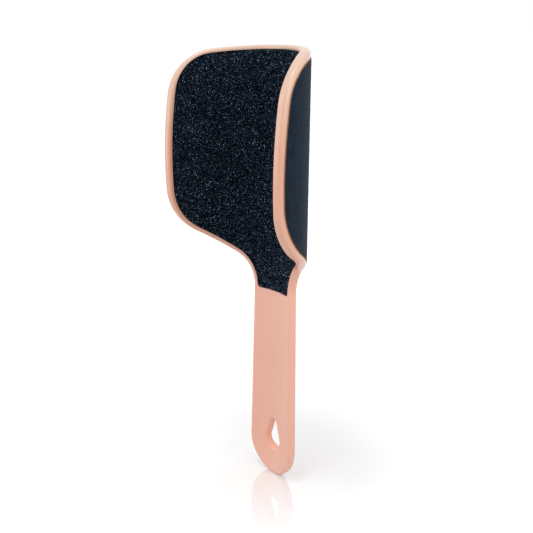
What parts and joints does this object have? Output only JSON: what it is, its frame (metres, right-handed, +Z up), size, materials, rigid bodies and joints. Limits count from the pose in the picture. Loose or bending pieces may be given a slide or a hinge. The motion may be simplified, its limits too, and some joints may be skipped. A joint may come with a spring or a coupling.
{
  "type": "foot file",
  "caption": "Foot file with a half-round head, coarse grit in its hollow and fine grit on its back, on a moulded handle with a teardrop hanging hole.",
  "frame": {"origin": "centre of the round end of the hanging hole, on the hollow face of the handle", "axes": "+Z up the handle to the head, -Y the way the hollow of the head faces, X across the handle"},
  "size_m": [0.0886, 0.0444, 0.24],
  "materials": {
    "pink_plastic": "smooth moulded gloss",
    "adhesive_film": "dull cream film",
    "backing_cloth": "resin-filled cloth",
    "coarse_grit": "coarse sparkling black grains",
    "fine_grit": "fine dark grey grains"
  },
  "bodies": {
    "root": {"moulded_paddle": "pink_plastic", "coarse_adhesive": "adhesive_film", "coarse_backing": "backing_cloth", "coarse_grit": "coarse_grit", "fine_adhesive": "adhesive_film", "fine_backing": "backing_cloth", "fine_grit": "fine_grit"}
  },
  "joints": []
}
